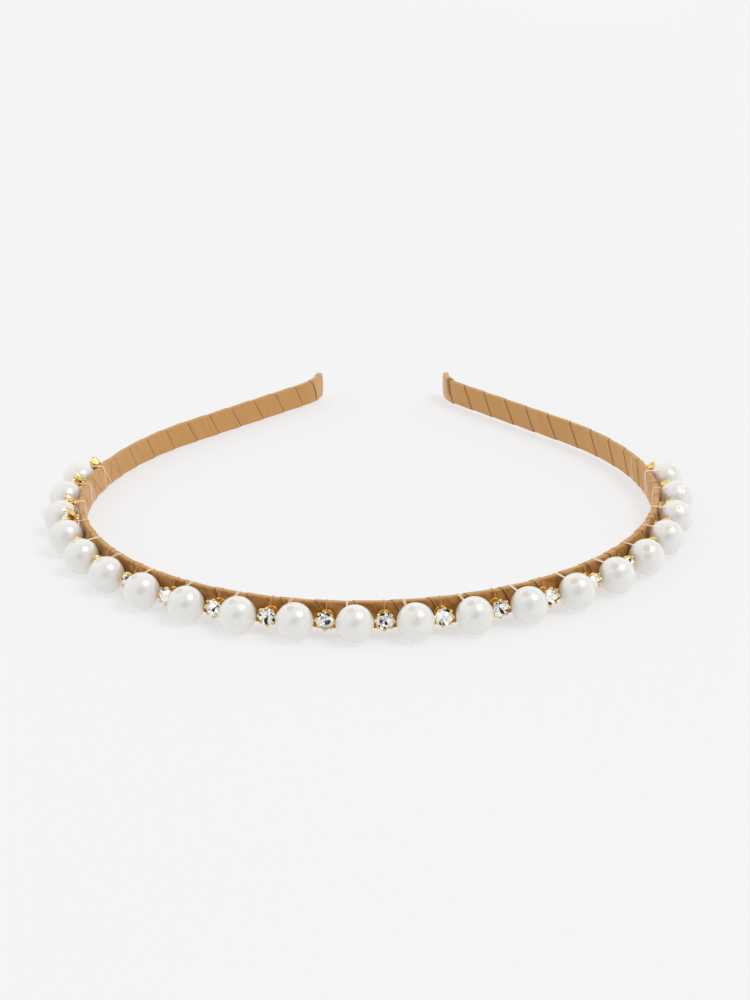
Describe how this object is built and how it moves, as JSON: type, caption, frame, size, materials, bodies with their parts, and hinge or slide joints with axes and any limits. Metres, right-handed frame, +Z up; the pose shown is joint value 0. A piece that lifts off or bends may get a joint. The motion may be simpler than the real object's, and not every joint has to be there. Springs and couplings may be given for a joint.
{
  "type": "decorated headband",
  "caption": "Springy narrow headband: a steel strip wound in satin ribbon, with drilled pearls and claw-set stones sewn along its outer face, and plain flared arms.",
  "frame": {"origin": "middle of the headband's footprint, on the surface that the pearls rest on", "axes": "+Y from the crown to the arm tips, +Z up through the height of the band as it lies flat, +X towards the right arm"},
  "size_m": [0.1512, 0.1648, 0.0089],
  "materials": {
    "strip_steel": "rolled spring steel, hidden by the ribbon",
    "satin_ribbon": "tan satin ribbon wound in overlapping turns, fine ribs across the turn",
    "pearl_coat": "off-white pearl lacquer over a moulded bead",
    "claw_gold": "bright gold plate",
    "clear_stone": "clear cut glass, foiled behind",
    "sewing_thread": "fine polyester thread, pale tan"
  },
  "bodies": {
    "crown": {"core_crown": "strip_steel", "ribbon_crown": "satin_ribbon", "pearl_01": "pearl_coat", "pearl_02": "pearl_coat", "pearl_03": "pearl_coat", "pearl_04": "pearl_coat", "pearl_05": "pearl_coat", "pearl_06": "pearl_coat", "pearl_07": "pearl_coat", "pearl_08": "pearl_coat", "pearl_09": "pearl_coat", "pearl_10": "pearl_coat", "pearl_11": "pearl_coat", "pearl_12": "pearl_coat", "pearl_13": "pearl_coat", "pearl_14": "pearl_coat", "pearl_15": "pearl_coat", "pearl_16": "pearl_coat", "pearl_17": "pearl_coat", "pearl_18": "pearl_coat", "pearl_19": "pearl_coat", "pearl_20": "pearl_coat", "pearl_21": "pearl_coat", "setting_01": "claw_gold", "setting_02": "claw_gold", "setting_03": "claw_gold", "setting_04": "claw_gold", "setting_05": "claw_gold", "setting_06": "claw_gold", "setting_07": "claw_gold", "setting_08": "claw_gold", "setting_09": "claw_gold", "setting_10": "claw_gold", "setting_11": "claw_gold", "setting_12": "claw_gold", "setting_13": "claw_gold", "setting_14": "claw_gold", "setting_15": "claw_gold", "setting_16": "claw_gold", "setting_17": "claw_gold", "setting_18": "claw_gold", "setting_19": "claw_gold", "setting_20": "claw_gold", "setting_21": "claw_gold", "setting_22": "claw_gold", "stones_left": "clear_stone", "stones_right": "clear_stone", "pearl_thread": "sewing_thread", "stone_thread": "sewing_thread", "end_knots": "sewing_thread"},
    "left_arm": {"core_left_arm": "strip_steel", "ribbon_left_arm": "satin_ribbon", "left_tip_cover": "satin_ribbon"},
    "right_arm": {"core_right_arm": "strip_steel", "ribbon_right_arm": "satin_ribbon", "right_tip_cover": "satin_ribbon"}
  },
  "joints": [
    {"name": "left_arm_flex", "type": "hinge", "parent": "crown", "child": "left_arm", "pos_m": [-0.05597, 0.03014, 0.004], "axis": [0, 0, 1], "range_deg": [-6, 20], "stiffness_Nm_per_rad": 0.35},
    {"name": "right_arm_flex", "type": "hinge", "parent": "crown", "child": "right_arm", "pos_m": [0.05597, 0.03014, 0.004], "axis": [0, 0, -1], "range_deg": [-6, 20], "stiffness_Nm_per_rad": 0.35}
  ]
}
